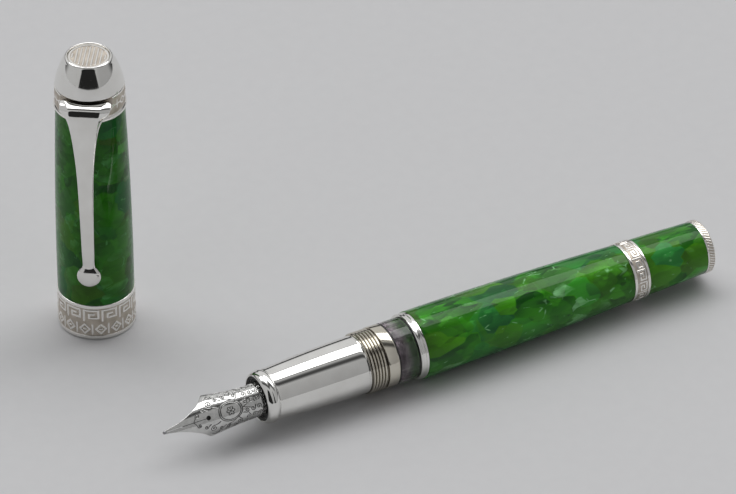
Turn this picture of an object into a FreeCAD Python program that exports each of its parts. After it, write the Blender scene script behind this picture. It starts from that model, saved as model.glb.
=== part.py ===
import FreeCAD, Part
import math
import os
import re

import Sketcher

# A piston-filling fountain pen, lying down uncapped, with its cap standing beside it.
# Millimetres, +Z up.  The origin is the middle of the pair's footprint, on the surface they rest on.
# Pen stations run along +X from just behind the nib's point; cap stations run up +Z from its mouth.
# The nib and the feed are drawn with the nib's upper face towards local +Z, then rolled to one side.

SIZES = {
    # where the two halves rest
    "pen_length": 123.3,
    "point_reach": 0.70,         # how far the nib's point lies ahead of station 0
    "cap_along": 10.55,          # cap axis, measured along the pen from station 0
    "cap_apart": 47.0,           # cap axis, measured square to the pen
    "nib_roll": 58.0,            # degrees that the nib's upper face leans to -Y
    "clip_bearing": -124.9,      # degrees from +X that the clip faces
    # nib
    "nib_sheet": 0.35,
    "tipping_radius": 0.40,
    "tipping_height": 2.38,
    "slit_width": 0.10,
    "breather_at": 9.0,
    "breather_radius": 0.46,
    "shoulder_at": 10.1,
    "shoulder_curve": 4.17,
    "shoulder_height": 3.02,
    "nib_body_radius": 3.40,
    "nib_body_front": 18.0,
    "nib_back": 31.0,
    # feed and its collar
    "feed_front": 3.8,
    "feed_waist": 12.0,
    "feed_round_front": 21.0,
    "feed_radius": 3.03,
    "feed_back": 41.0,
    "feed_bore": 0.6,
    "fin_count": 9,
    "fin_pitch": 0.85,
    "fin_slot": 0.30,
    "collar_front": 21.6,
    "collar_back": 40.5,
    "collar_radius": 3.97,
    "collar_bore": 3.43,
    # section
    "lip_front": 20.9,
    "mouth_radius": 4.0,
    "lip_crest": 22.1,
    "lip_radius": 5.31,
    "lip_curve": 1.25,
    "grip_front": 23.3,
    "grip_front_radius": 5.17,
    "grip_back": 43.0,
    "grip_back_radius": 5.90,
    "grip_curve": 290.0,
    "thread_count": 6,
    "thread_pitch": 0.66,
    "thread_crest": 6.22,
    "thread_root": 5.95,
    "section_ring_radius": 6.30,
    "section_back": 49.35,
    "section_bore_step": 41.0,
    "section_wide_bore": 5.0,
    "seal_radius": 6.20,
    # ink window, barrel and band
    "window_front": 49.6,
    "window_radius": 6.26,
    "window_spigot": 4.98,
    "window_back": 53.85,
    "window_tail": 58.0,
    "chamber_radius": 4.6,
    "ring_radius": 6.78,
    "ring_groove": 6.60,
    "ring_edge": 0.45,
    "barrel_front": 55.5,
    "barrel_front_radius": 6.90,
    "barrel_curve": 1126.0,
    "barrel_bore": 5.30,
    "liner_radius": 5.28,
    "band_front": 102.95,
    "band_front_radius": 5.90,
    "band_radius": 5.97,
    "band_rim_radius": 6.10,
    "band_rim": 0.55,
    "band_back": 106.52,
    # filling mechanism
    "guide_front": 85.1,
    "guide_plate": 1.3,
    "guide_boss_radius": 4.2,
    "guide_back": 110.6,
    "guide_bore": 3.66,
    "spindle_radius": 3.60,
    "spindle_front": 86.6,
    "spindle_nut_back": 91.0,
    "spindle_nut_bore": 2.36,
    "spindle_bore": 2.62,
    "spindle_back": 118.6,
    "flange_front": 113.2,
    "flange_back": 114.2,
    "flange_radius": 4.40,
    "washer_front": 112.3,
    "washer_back": 113.1,
    "washer_bore": 3.68,
    "washer_radius": 4.32,
    "rod_radius": 2.30,
    "rod_flat": 1.85,
    "rod_back": 117.9,
    "rod_stub_front": 81.0,
    "rod_stub_radius": 1.5,
    "piston_front": 78.0,
    "piston_back": 84.9,
    "piston_radius": 4.25,
    "seal_groove_radius": 3.85,
    "seal_groove_front": 79.0,
    "seal_spacing": 3.2,
    "piston_seal_width": 1.4,
    "piston_seal_radius": 4.57,
    # knob
    "knob_front": 106.62,
    "knob_front_radius": 5.86,
    "knob_bore": 4.45,
    "knob_back": 120.3,
    "knob_back_radius": 5.40,
    "knob_curve": 400.0,
    "end_ring_radius": 5.50,
    "end_ring_back": 122.2,
    "end_ring_round": 0.40,
    "end_disc_radius": 3.6,
    # cap
    "mouth_lip": 0.6,
    "mouth_lip_bore": 6.40,
    "band_edge_round": 0.35,
    "cap_band_top": 8.25,
    "cap_band_radius": 7.75,
    "cap_band_ground": 7.66,
    "cap_band_rim": 0.75,
    "cap_band_bore": 7.05,
    "bush_top": 13.0,
    "bush_radius": 6.85,
    "bush_bore": 6.34,
    "bush_groove_radius": 6.55,
    "bush_groove_base": 8.2,
    "bush_groove_count": 5,
    "tube_base_radius": 7.60,
    "tube_top": 51.44,
    "tube_top_radius": 6.77,
    "tube_curve": 930.0,
    "liner_step": 36.0,
    "liner_wide": 6.34,
    "liner_narrow": 5.74,
    "liner_shoulder": 50.5,
    "liner_nose": 4.10,
    "liner_top": 57.4,
    "liner_bore": 5.98,
    "liner_seat": 34.2,
    "liner_nib_bore": 4.75,
    "liner_nose_base": 48.2,
    "liner_nose_bore": 3.3,
    "liner_roof": 56.4,
    "clip_ring_radius": 6.88,
    "clip_ring_bead": 7.13,
    "clip_ring_bead_top": 52.35,
    "clip_ring_top": 56.3,
    "clip_ring_bore": 4.12,
    "slot_inner": 4.60,
    "slot_half": 5.35,
    "slot_floor": 54.70,
    # finial
    "dome_base": 56.42,
    "dome_base_radius": 6.80,
    "dome_curve": 16.0,
    "dome_shoulder": 62.2,
    "dome_shoulder_radius": 4.75,
    "dome_lip_curve": 0.5,
    "dome_lip_radius": 4.30,
    "dome_top": 62.7,
    "dome_recess": 62.1,
    "dome_socket": 4.16,
    "dome_socket_roof": 57.45,
    "badge_radius": 4.05,
    "badge_top": 62.5,
    "badge_ribs": 9,
    "badge_rib_height": 0.15,
    "screw_head_radius": 2.2,
    "screw_head_base": 55.5,
    "screw_radius": 1.0,
    "screw_top": 59.8,
    # clip
    "clip_inner": 4.78,
    "clip_tab_under": 55.0,
    "clip_tab_top": 56.0,
    "clip_shoulder": 7.9,
    "clip_crown": 9.25,
    "clip_crown_height": 54.3,
    "clip_bow": 9.9,
    "clip_bow_height": 46.0,
    "clip_foot": 9.4,
    "clip_blade": 1.15,
    "clip_wing_half": 5.1,
    "clip_throat": 53.8,
    "clip_throat_half": 3.1,
    "clip_flare": 48.2,
    "clip_flare_half": 2.25,
    "clip_waist": 41.2,
    "clip_waist_half": 1.63,
    "clip_stem": 30.0,
    "clip_stem_half": 1.33,
    "clip_neck_half": 1.22,
    "clip_ball": 16.45,
    "clip_ball_radius": 2.42,
    "clip_ball_swell": 0.60,
    "clip_ball_depth": 2.0,
}

doc = FreeCAD.newDocument("fountain_pen")
sheet = doc.addObject("Spreadsheet::Sheet", "Sizes")
for row, (name, value) in enumerate(SIZES.items(), start=1):
    sheet.set(f"A{row}", name)
    sheet.set(f"B{row}", str(value))
    sheet.setAlias(f"B{row}", name)
doc.recompute()

PEN = {
    "Base.x": "point_reach - pen_length / 2",
    "Base.y": "0 - (cap_apart + cap_band_radius - barrel_front_radius) / 2",
    "Base.z": "barrel_front_radius",
}
CAP = {
    "Base.x": "cap_along + point_reach - pen_length / 2",
    "Base.y": "(cap_apart - cap_band_radius + barrel_front_radius) / 2",
}
ORIGIN, START, END = -1, 1, 2    # Sketcher's codes: the origin's geometry, and a line's two ends
X_AXIS, Y_AXIS = -1, -2
nodes = []


def bound(text):
    """Turn a sum of size names into the expression that reads them from the sheet."""
    return re.sub(r"[a-z]\w*", lambda word: "Sizes." + word.group(), text)


def size(text):
    """The present value of a sum of size names."""
    return float(sheet.evalExpression(bound(text)))


def place(thing, where, turn=None, axis=(0, 0, 1)):
    """Bind a sub-part's placement to the pen's or the cap's axis, and turn it about that axis."""
    if turn:
        thing.Placement.Rotation = FreeCAD.Rotation(FreeCAD.Vector(*axis), size(turn))
    for key, text in where.items():
        thing.setExpression(".Placement." + key, bound(text))


def origin_plane(body, role):
    return next(f for f in body.Origin.OriginFeatures if f.Role == role)


def new_body(label):
    body = doc.addObject("PartDesign::Body", label)
    body.Label = label
    nodes.append(body)
    return body


def draw(body, name, plane, outline):
    """Sketch a closed outline.  Each corner is (across, up) or (across, up, radius): sums of size names,
    where a radius makes an arc from the corner before, bulging to the left of the way it runs,
    or to the right when the radius starts with a minus."""
    sketch = body.newObject("Sketcher::SketchObject", name)
    sketch.AttachmentSupport = [(origin_plane(body, plane), "")]
    sketch.MapMode = "FlatFace"
    corners = [FreeCAD.Vector(size(c[0]), size(c[1]), 0) for c in outline]
    geometry, radii = [], {}
    for i, corner in enumerate(outline):
        a, b = corners[i - 1], corners[i]
        if len(corner) == 3:
            curve = size(corner[2])
            along = b - a
            left = FreeCAD.Vector(-along.y, along.x, 0).normalize()
            rise = abs(curve) - math.sqrt(curve * curve - along.Length ** 2 / 4)
            middle = (a + b) / 2 + left * math.copysign(rise, curve)
            geometry.append(Part.Arc(a, middle, b))
            radii[i] = corner[2].lstrip("-")
        else:
            geometry.append(Part.LineSegment(a, b))
    sketch.addGeometry(geometry, False)
    # an arc is stored counter-clockwise, so its ends swap where it bulges left
    ends = [(END, START) if len(c) == 3 and size(c[2]) > 0 else (START, END) for c in outline]
    count = len(outline)
    for i in range(count):
        after = (i + 1) % count
        sketch.addConstraint(Sketcher.Constraint("Coincident", i, ends[i][1], after, ends[after][0]))
        for kind, axis_line, value, text in (("DistanceX", Y_AXIS, corners[i].x, outline[i][0]),
                                             ("DistanceY", X_AXIS, corners[i].y, outline[i][1])):
            if abs(value) < 1e-9:
                sketch.addConstraint(Sketcher.Constraint("PointOnObject", i, ends[i][1], axis_line))
                continue
            number = sketch.addConstraint(Sketcher.Constraint(kind, ORIGIN, START, i, ends[i][1], value))
            sketch.setExpression(f"Constraints[{number}]", bound(text))
        if i in radii:
            number = sketch.addConstraint(Sketcher.Constraint("Radius", i, abs(size(radii[i]))))
            sketch.setExpression(f"Constraints[{number}]", bound(radii[i]))
    return sketch


def turned(label, outline, where=PEN):
    """Turn an outline of (station, radius) corners about the pen's axis or the cap's."""
    body = new_body(label)
    if where is CAP:
        outline = [(corner[1], corner[0]) + tuple(corner[2:]) for corner in outline]
    sketch = draw(body, label + "_outline", "XZ_Plane", outline)
    spin = body.newObject("PartDesign::Revolution", label + "_turn")
    spin.Profile = sketch
    spin.ReferenceAxis = (sketch, ["V_Axis" if where is CAP else "H_Axis"])
    spin.Angle = 360
    place(body, where)
    return body


def solid(label, shape, where, turn=None, axis=(0, 0, 1)):
    """A sub-part whose form neither a sketch nor a primitive gives."""
    thing = doc.addObject("Part::Feature", label)
    thing.Label = label
    thing.Shape = shape
    place(thing, where, turn, axis)
    nodes.append(thing)
    return thing


def box(low, high):
    return Part.makeBox(*(high[i] - low[i] for i in range(3)), FreeCAD.Vector(*low))


# ---- nib and feed ------------------------------------------------------------------------------

def nib_section(station, curve, top, half_angle):
    """One cross-section of the nib's sheet: an arc of the given radius and top height."""
    centre = top - curve
    sheet_in = curve - size("nib_sheet")

    def point(radius, degrees):
        angle = math.radians(degrees)
        return FreeCAD.Vector(station, radius * math.sin(angle), centre + radius * math.cos(angle))

    outer = Part.Arc(point(curve, -half_angle), point(curve, 0), point(curve, half_angle)).toShape()
    inner = Part.Arc(point(sheet_in, half_angle), point(sheet_in, 0), point(sheet_in, -half_angle)).toShape()
    sides = [Part.makeLine(point(curve, turn), point(sheet_in, turn)) for turn in (half_angle, -half_angle)]
    return Part.Wire(Part.__sortEdges__([outer, sides[0], inner, sides[1]]))


def tipping_ball():
    radius = size("tipping_radius")
    return Part.makeSphere(radius, FreeCAD.Vector(radius - size("point_reach"), 0, size("tipping_height")))


# The nib's cross-sections: station, radius of the curved sheet, its top, and half the angle it spans.
TINES = [(-0.15, 2.45, 2.50, 9), (2.4, 3.0, 2.62, 16), (4.4, 3.4, 2.74, 24.5), (6.5, 3.8, 2.86, 37),
         (8.4, 4.05, 2.96, 54)]
SHOULDER = (size("shoulder_at"), size("shoulder_curve"), size("shoulder_height"), 85)
WAIST = (14.0, 3.68, 3.28, 85)
BODY_HALF_ANGLE = 84


def nib_blank():
    """The formed sheet before it is slit: the tines, and the round body behind the shoulders."""
    body_radius = size("nib_body_radius")
    body = [(size(end), body_radius, body_radius, BODY_HALF_ANGLE) for end in ("nib_body_front", "nib_back")]
    front = Part.makeLoft([nib_section(*s) for s in TINES + [SHOULDER]], True)
    return front.fuse(Part.makeLoft([nib_section(*s) for s in [SHOULDER, WAIST] + body], True))


def build_nib():
    width = size("slit_width")
    high = size("shoulder_curve")
    slit = box((-1 - size("point_reach"), -width / 2, 0), (size("breather_at"), width / 2, high))
    breather = Part.makeCylinder(size("breather_radius"), high, FreeCAD.Vector(size("breather_at"), 0, 0))
    return nib_blank().cut([slit, breather, tipping_ball()]).removeSplitter()


def ellipse(station, middle, half_width, half_height):
    """An upright ellipse across the pen, as a wire."""
    wide = half_width >= half_height
    major, minor = (half_width, half_height) if wide else (half_height, half_width)
    centre = FreeCAD.Vector(station, 0, middle)
    ahead = FreeCAD.Vector(station, major, middle) if wide else FreeCAD.Vector(station, 0, middle + major)
    aside = FreeCAD.Vector(station, 0, middle + minor) if wide else FreeCAD.Vector(station, minor, middle)
    return Part.Wire([Part.Ellipse(ahead, aside, centre).toShape()])


def build_feed():
    radius = size("feed_radius")
    round_front, waist = size("feed_round_front"), size("feed_waist")
    stem = Part.makeCylinder(radius, size("feed_back") - round_front, FreeCAD.Vector(round_front, 0, 0),
                             FreeCAD.Vector(1, 0, 0))
    snout = Part.makeLoft([ellipse(round_front, 0, radius, radius),
                           ellipse((round_front + waist) / 2, 0.25, radius * 0.98, 2.72),
                           ellipse(waist, 0.72, 2.80, 1.95),
                           ellipse((waist + size("feed_front")) / 2, 1.52, 1.95, 0.93),
                           ellipse(size("feed_front"), 2.02, 0.52, 0.20)], True)
    shape = stem.fuse(snout)
    bore_length = size("feed_back") - round_front
    shape = shape.cut(Part.makeCylinder(size("feed_bore"), bore_length,
                                        FreeCAD.Vector(round_front, 0, 0), FreeCAD.Vector(1, 0, 0)))
    for i in range(int(size("fin_count"))):
        at = waist + 0.6 + i * size("fin_pitch")
        slot = box((at, -radius - 1, -radius - 1), (at + size("fin_slot"), radius + 1, -0.9))
        shape = shape.cut(slot)
    return shape.cut(nib_blank())


solid("nib", build_nib(), PEN, "nib_roll", (1, 0, 0))
solid("nib_tipping", tipping_ball(), PEN, "nib_roll", (1, 0, 0))
solid("feed", build_feed(), PEN, "nib_roll", (1, 0, 0))

# ---- section -----------------------------------------------------------------------------------

turned("nib_collar", [
    ("collar_front", "collar_bore"), ("collar_front", "collar_radius"),
    ("collar_back", "collar_radius"), ("collar_back", "collar_bore"),
])


def thread_outline(start, count, crest, root):
    """Rounded ridges, one pitch apart, from the given station."""
    ridge = ((0.12, root), (0.32, crest), (0.68, crest, "0.4 * thread_pitch"), (0.88, root))
    return [(f"{start} + {i + share} * thread_pitch", *corner)
            for i in range(int(size(count))) for share, *corner in ridge]


THREAD_BACK = "grip_back + thread_count * thread_pitch"
turned("section_sleeve", [
    ("lip_front", "mouth_radius"),
    ("lip_front", "mouth_radius + 0.45"),
    ("lip_crest", "lip_radius", "lip_curve"),
    ("grip_front", "grip_front_radius", "lip_curve"),
    ("grip_back", "grip_back_radius", "grip_curve"),
    *thread_outline("grip_back", "thread_count", "thread_crest", "thread_root"),
    (THREAD_BACK, "thread_root"),
    (THREAD_BACK, "section_ring_radius"),
    ("section_back", "section_ring_radius"),
    ("section_back", "section_wide_bore"),
    ("section_bore_step", "section_wide_bore"),
    ("section_bore_step", "mouth_radius"),
])
turned("section_seal", [
    ("section_back", "section_wide_bore"), ("section_back", "seal_radius"),
    ("window_front", "seal_radius"), ("window_front", "section_wide_bore"),
])

# ---- ink window, barrel and its fittings -------------------------------------------------------

turned("ink_window", [
    ("section_bore_step + 0.1", "chamber_radius"),
    ("section_bore_step + 0.1", "window_spigot"),
    ("window_front", "window_spigot"),
    ("window_front", "window_radius"),
    ("window_back", "window_radius"),
    ("window_back", "liner_radius"),
    ("window_tail", "liner_radius"),
    ("window_tail", "chamber_radius"),
])
turned("barrel_ring", [
    ("window_back", "barrel_bore"),
    ("window_back", "ring_radius - 0.15"),
    ("window_back + 0.15", "ring_radius"),
    ("window_back + ring_edge", "ring_radius"),
    ("window_back + ring_edge + 0.15", "ring_groove"),
    ("barrel_front - ring_edge - 0.15", "ring_groove"),
    ("barrel_front - ring_edge", "ring_radius"),
    ("barrel_front", "ring_radius"),
    ("barrel_front", "barrel_bore"),
])
turned("barrel", [
    ("barrel_front", "barrel_bore"),
    ("barrel_front", "barrel_front_radius"),
    ("band_front", "band_front_radius", "barrel_curve"),
    ("band_front", "barrel_bore"),
])
turned("reservoir_tube", [
    ("window_tail + 0.05", "chamber_radius"), ("window_tail + 0.05", "liner_radius"),
    ("guide_front - 0.05", "liner_radius"), ("guide_front - 0.05", "chamber_radius"),
])
turned("barrel_band", [
    ("band_front", "guide_boss_radius + 0.02"),
    ("band_front", "band_rim_radius"),
    ("band_front + band_rim", "band_rim_radius"),
    ("band_front + band_rim", "band_radius"),
    ("band_back - band_rim", "band_radius"),
    ("band_back - band_rim", "band_rim_radius"),
    ("band_back", "band_rim_radius"),
    ("band_back", "guide_boss_radius + 0.02"),
])

# ---- filling mechanism -------------------------------------------------------------------------

turned("spindle_guide", [
    ("guide_front", "rod_radius + 0.06"),
    ("guide_front", "liner_radius"),
    ("band_front", "liner_radius"),
    ("band_front", "guide_boss_radius"),
    ("guide_back", "guide_boss_radius"),
    ("guide_back", "guide_bore"),
    ("guide_front + guide_plate", "guide_bore"),
    ("guide_front + guide_plate", "rod_radius + 0.06"),
])
SEAL_FRONTS = ["seal_groove_front", "seal_groove_front + seal_spacing"]
turned("piston_head", [
    ("piston_front", "0"),
    ("piston_front", "piston_radius"),
    *[corner for front in SEAL_FRONTS for corner in (
        (front, "piston_radius"),
        (front, "seal_groove_radius"),
        (front + " + piston_seal_width", "seal_groove_radius"),
        (front + " + piston_seal_width", "piston_radius"))],
    ("piston_back", "piston_radius"),
    ("piston_back", "rod_stub_radius"),
    ("rod_stub_front", "rod_stub_radius"),
    ("rod_stub_front", "0"),
])


def ring(front, back, inner, outer, axis):
    """A plain ring between two stations of an axis."""
    start = axis * front
    return Part.makeCylinder(outer, back - front, start, axis).cut(
        Part.makeCylinder(inner, back - front, start, axis))


ALONG = FreeCAD.Vector(1, 0, 0)
seals = []
for front in SEAL_FRONTS:
    seal = ring(size(front) + 0.05, size(front + " + piston_seal_width") - 0.05,
                size("seal_groove_radius") + 0.02, size("piston_seal_radius"), ALONG)
    rims = [e for e in seal.Edges
            if e.Curve.TypeId == "Part::GeomCircle" and e.Curve.Radius > size("piston_radius")]
    seals.append(seal.makeFillet(0.3, rims))
solid("piston_seals", Part.makeCompound(seals), PEN)


def build_rod():
    """The piston's stem: round, with two flats that keep it from turning."""
    radius, flat = size("rod_radius"), size("rod_flat")
    front, back = size("piston_back"), size("rod_back")
    stem = Part.makeCylinder(radius, back - front, ALONG * front, ALONG)
    stem = stem.common(box((front, -flat, -radius), (back, flat, radius)))
    stub = Part.makeCylinder(size("rod_stub_radius") - 0.01, front - size("rod_stub_front") - 0.02,
                             ALONG * (size("rod_stub_front") + 0.02), ALONG)
    return stem.fuse(stub)


solid("piston_rod", build_rod(), PEN)
turned("drive_spindle", [
    ("spindle_front", "spindle_nut_bore"),
    ("spindle_front", "spindle_radius"),
    ("flange_front", "spindle_radius"),
    ("flange_front", "flange_radius"),
    ("flange_back", "flange_radius"),
    ("flange_back", "spindle_radius"),
    ("spindle_back", "spindle_radius"),
    ("spindle_back", "spindle_bore"),
    ("spindle_nut_back", "spindle_bore"),
    ("spindle_nut_back", "spindle_nut_bore"),
])
turned("thrust_washer", [
    ("washer_front", "washer_bore"), ("washer_front", "washer_radius"),
    ("washer_back", "washer_radius"), ("washer_back", "washer_bore"),
])
turned("piston_knob", [
    ("knob_front", "knob_bore"),
    ("knob_front", "knob_front_radius"),
    ("knob_back", "knob_back_radius", "knob_curve"),
    ("knob_back", "end_disc_radius"),
    ("spindle_back + 0.1", "end_disc_radius"),
    ("spindle_back + 0.1", "spindle_radius + 0.02"),
    ("flange_back + 0.02", "spindle_radius + 0.02"),
    ("flange_back + 0.02", "knob_bore"),
])
turned("knob_end_ring", [
    ("knob_back", "end_disc_radius"),
    ("knob_back", "end_ring_radius"),
    ("end_ring_back - end_ring_round", "end_ring_radius"),
    ("end_ring_back", "end_ring_radius - end_ring_round", "end_ring_round"),
    ("end_ring_back", "end_disc_radius"),
])
# the radius of a shallow dome whose crown is on the axis
CROWN = "(pen_length - point_reach)"
DOMED_END = f"((end_disc_radius - 0.02) ^ 2 + ({CROWN} - end_ring_back) ^ 2) / (2 * ({CROWN} - end_ring_back))"
turned("knob_end_disc", [
    ("spindle_back + 0.1", "0"),
    ("spindle_back + 0.1", "end_disc_radius - 0.02"),
    ("end_ring_back", "end_disc_radius - 0.02"),
    (CROWN, "0", DOMED_END),
])

# ---- cap ---------------------------------------------------------------------------------------

turned("cap_lip_band", [
    ("0", "mouth_lip_bore"),
    ("0", "cap_band_radius - band_edge_round"),
    ("band_edge_round", "cap_band_radius", "-band_edge_round"),
    ("band_edge_round + cap_band_rim", "cap_band_radius"),
    ("band_edge_round + cap_band_rim", "cap_band_ground"),
    ("cap_band_top - cap_band_rim", "cap_band_ground"),
    ("cap_band_top - cap_band_rim", "cap_band_radius"),
    ("cap_band_top", "cap_band_radius"),
    ("cap_band_top", "cap_band_bore"),
    ("mouth_lip", "cap_band_bore"),
    ("mouth_lip", "mouth_lip_bore"),
], CAP)
GROOVE = ((0, "bush_bore"), (0.25, "bush_groove_radius"), (0.65, "bush_groove_radius"), (0.9, "bush_bore"))
grooves = [(f"bush_groove_base + {i + share} * thread_pitch", radius)
           for i in range(int(size("bush_groove_count"))) for share, radius in GROOVE]
turned("cap_thread_bush", [
    ("mouth_lip", "bush_bore"), *grooves, ("bush_top", "bush_bore"),
    ("bush_top", "bush_radius"), ("mouth_lip", "bush_radius"),
], CAP)
turned("cap_tube", [
    ("mouth_lip", "bush_radius"),
    ("mouth_lip", "cap_band_bore"),
    ("cap_band_top", "cap_band_bore"),
    ("cap_band_top", "tube_base_radius"),
    ("tube_top", "tube_top_radius", "-tube_curve"),
    ("tube_top", "liner_narrow"),
    ("liner_step", "liner_narrow"),
    ("liner_step", "liner_wide"),
    ("bush_top", "liner_wide"),
    ("bush_top", "bush_radius"),
], CAP)
turned("inner_cap", [
    ("bush_top", "liner_bore"),
    ("bush_top", "liner_wide - 0.02"),
    ("liner_step - 0.02", "liner_wide - 0.02"),
    ("liner_step - 0.02", "liner_narrow - 0.02"),
    ("liner_shoulder", "liner_narrow - 0.02"),
    ("liner_shoulder", "liner_nose"),
    ("liner_top", "liner_nose"),
    ("liner_top", "screw_radius + 0.03"),
    ("liner_roof", "screw_radius + 0.03"),
    ("liner_roof", "liner_nose_bore"),
    ("liner_nose_base", "liner_nose_bore"),
    ("liner_nose_base", "liner_nib_bore"),
    ("liner_seat", "liner_nib_bore"),
    ("liner_seat", "liner_bore"),
], CAP)

clip_ring = turned("clip_ring", [
    ("tube_top", "clip_ring_bore"),
    ("tube_top", "clip_ring_bead - 0.15"),
    ("clip_ring_bead_top - 0.15", "clip_ring_bead - 0.15", "-0.55"),
    ("clip_ring_bead_top", "clip_ring_radius"),
    ("clip_ring_top", "clip_ring_radius - 0.06"),
    ("clip_ring_top", "clip_ring_bore"),
], CAP)
place(clip_ring, CAP, "clip_bearing")
window = draw(clip_ring, "clip_slot_outline", "XZ_Plane", [
    ("slot_inner", "slot_floor"), ("clip_bow", "slot_floor"),
    ("clip_bow", "clip_ring_top + 1"), ("slot_inner", "clip_ring_top + 1"),
])
slot = clip_ring.newObject("PartDesign::Pocket", "clip_slot")
slot.Profile = window
slot.Midplane = True
slot.setExpression("Length", bound("2 * slot_half"))

turned("finial_dome", [
    ("dome_base", "dome_socket"),
    ("dome_base", "dome_base_radius"),
    ("dome_shoulder", "dome_shoulder_radius", "-dome_curve"),
    ("dome_top", "dome_lip_radius", "-dome_lip_curve"),
    ("dome_recess", "badge_radius + 0.05"),
    ("dome_recess", "0"),
    ("screw_top + 0.1", "0"),
    ("screw_top + 0.1", "screw_radius + 0.02"),
    ("dome_socket_roof", "screw_radius + 0.02"),
    ("dome_socket_roof", "dome_socket"),
], CAP)
turned("finial_screw", [
    ("screw_head_base", "0"),
    ("screw_head_base", "screw_head_radius"),
    ("liner_roof", "screw_head_radius"),
    ("liner_roof", "screw_radius"),
    ("screw_top", "screw_radius"),
    ("screw_top", "0"),
], CAP)


def build_badge():
    """A round medallion with plain parallel ribs inside a rim."""
    radius, top, rib = size("badge_radius"), size("badge_top"), size("badge_rib_height")
    up = FreeCAD.Vector(0, 0, 1)
    base = Part.makeCylinder(radius, top - rib - size("dome_recess"), up * size("dome_recess"), up)
    rim = ring(top - rib, top, radius - 0.4, radius, up)
    pitch = 2 * radius / size("badge_ribs")
    ribs = []
    for i in range(int(size("badge_ribs"))):
        across = -radius + (i + 0.5) * pitch
        ribs.append(box((-radius, across - pitch * 0.3, top - rib), (radius, across + pitch * 0.3, top)))
    inside = Part.makeCylinder(radius - 0.1, rib, up * (top - rib), up)
    return base.fuse([rim, Part.makeCompound(ribs).common(inside)]).removeSplitter()


solid("finial_badge", build_badge(), CAP, "clip_bearing")


# ---- clip --------------------------------------------------------------------------------------

def face_of(corners):
    """A flat face from a list of points; a pair (through, end) is an arc by way of its first point."""
    edges = []
    last = corners[-1][1] if isinstance(corners[-1], tuple) else corners[-1]
    for corner in corners:
        if isinstance(corner, tuple):
            edges.append(Part.Arc(last, corner[0], corner[1]).toShape())
            last = corner[1]
        else:
            edges.append(Part.makeLine(last, corner))
            last = corner
    return Part.Face(Part.Wire(edges))


def build_clip():
    """The clip's sheet, with local +X outwards: its side view, cut to its front view and its plan."""
    half_wing, blade = size("clip_wing_half"), size("clip_blade")
    under, top, inner = size("clip_tab_under"), size("clip_tab_top"), size("clip_inner")
    shoulder, crown, bow, foot = (size("clip_" + name) for name in ("shoulder", "crown", "bow", "foot"))
    crown_height, bow_height = size("clip_crown_height"), size("clip_bow_height")
    ball, ball_radius, depth = size("clip_ball"), size("clip_ball_radius"), size("clip_ball_depth")
    ball_face = foot + size("clip_ball_swell")
    neck = ball + math.sqrt(ball_radius ** 2 - size("clip_neck_half") ** 2)

    def seen_from_side(out, up):
        return FreeCAD.Vector(out, -half_wing, up)

    def blade_line(inset):
        """The bent and bowed line of one face of the blade, this far inside the outer face."""
        return [seen_from_side(shoulder - inset / 2, top - inset),
                (seen_from_side(crown - inset - 0.28, top - inset * 0.8 - 0.42),
                 seen_from_side(crown - inset, crown_height - inset / 3)),
                (seen_from_side(bow - inset - 0.1, (crown_height + bow_height) / 2),
                 seen_from_side(bow - inset, bow_height)),
                (seen_from_side((bow + foot) / 2 - inset + 0.1, (bow_height + neck) / 2),
                 seen_from_side(foot - inset, neck))]

    back, front = blade_line(blade), blade_line(0)
    ball_back = (seen_from_side(ball_face - depth - 0.15, (neck + ball) / 2),
                 seen_from_side(ball_face - depth, ball - 0.5))
    ball_tip = (seen_from_side(ball_face - 0.3, ball - 0.7 * ball_radius),
                seen_from_side(ball_face, ball))
    ball_top = (seen_from_side((foot + ball_face) / 2 + 0.12, (neck + ball) / 2), front[-1][1])
    up_the_front = [(front[3][0], front[2][1]), (front[2][0], front[1][1]), (front[1][0], front[0])]
    side = face_of([seen_from_side(inner, under)] + back
                   + [ball_back, seen_from_side(ball_face - depth + 0.1, ball - ball_radius), ball_tip, ball_top]
                   + up_the_front + [seen_from_side(inner, top)])
    side = side.extrude(FreeCAD.Vector(0, 2 * half_wing, 0))

    def seen_from_front(side_sign, across, up):
        return FreeCAD.Vector(0, side_sign * across, up)

    def flank(sign):
        """The corners of one edge of the front view, from the top down to the ball's side."""
        edge = [(half_wing, top + 1), (half_wing, top - 0.6)]
        edge += [(size(f"clip_{part}_half"), size(f"clip_{part}")) for part in ("throat", "flare", "waist", "stem")]
        return [seen_from_front(sign, *corner) for corner in edge + [(size("clip_neck_half"), neck)]]

    outline = face_of(flank(1) + [(seen_from_front(1, 0, ball - ball_radius), flank(-1)[-1])]
                      + flank(-1)[-2::-1])
    outline = outline.extrude(FreeCAD.Vector(2 * bow, 0, 0))

    def seen_from_above(out, across):
        return FreeCAD.Vector(out, across, 0)

    half_face = size("clip_throat_half")
    plan = face_of([seen_from_above(inner, -half_wing), seen_from_above(bow, -half_face),
                    seen_from_above(bow, half_face), seen_from_above(inner, half_wing)])
    plan = plan.extrude(FreeCAD.Vector(0, 0, top + 1))
    return side.common([outline]).common([plan])


solid("clip", build_clip(), CAP, "clip_bearing")

# ---- check and write ---------------------------------------------------------------------------

doc.recompute()
for item in doc.Objects:
    if "Invalid" in item.State or "Error" in item.State:
        raise RuntimeError(f"{item.Name} did not recompute: {item.State}")
for node in nodes:
    if node.Shape.isNull() or not node.Shape.isValid() or not node.Shape.Solids:
        raise RuntimeError(f"{node.Label} has no valid solid")
os.makedirs("parts", exist_ok=True)
whole = FreeCAD.BoundBox()
for node in nodes:
    node.Shape.exportStep(f"parts/{node.Label}.step")
    whole.add(node.Shape.BoundBox)
print(len(nodes), "nodes", whole)
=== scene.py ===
"""Looks of the piston-filling fountain pen: the open pen lying in front, its cap standing behind.
Lengths are written in millimetres and turned into metres where a mesh is made."""
import math

import bmesh
import bpy
import numpy as np
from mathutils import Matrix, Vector, kdtree


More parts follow.
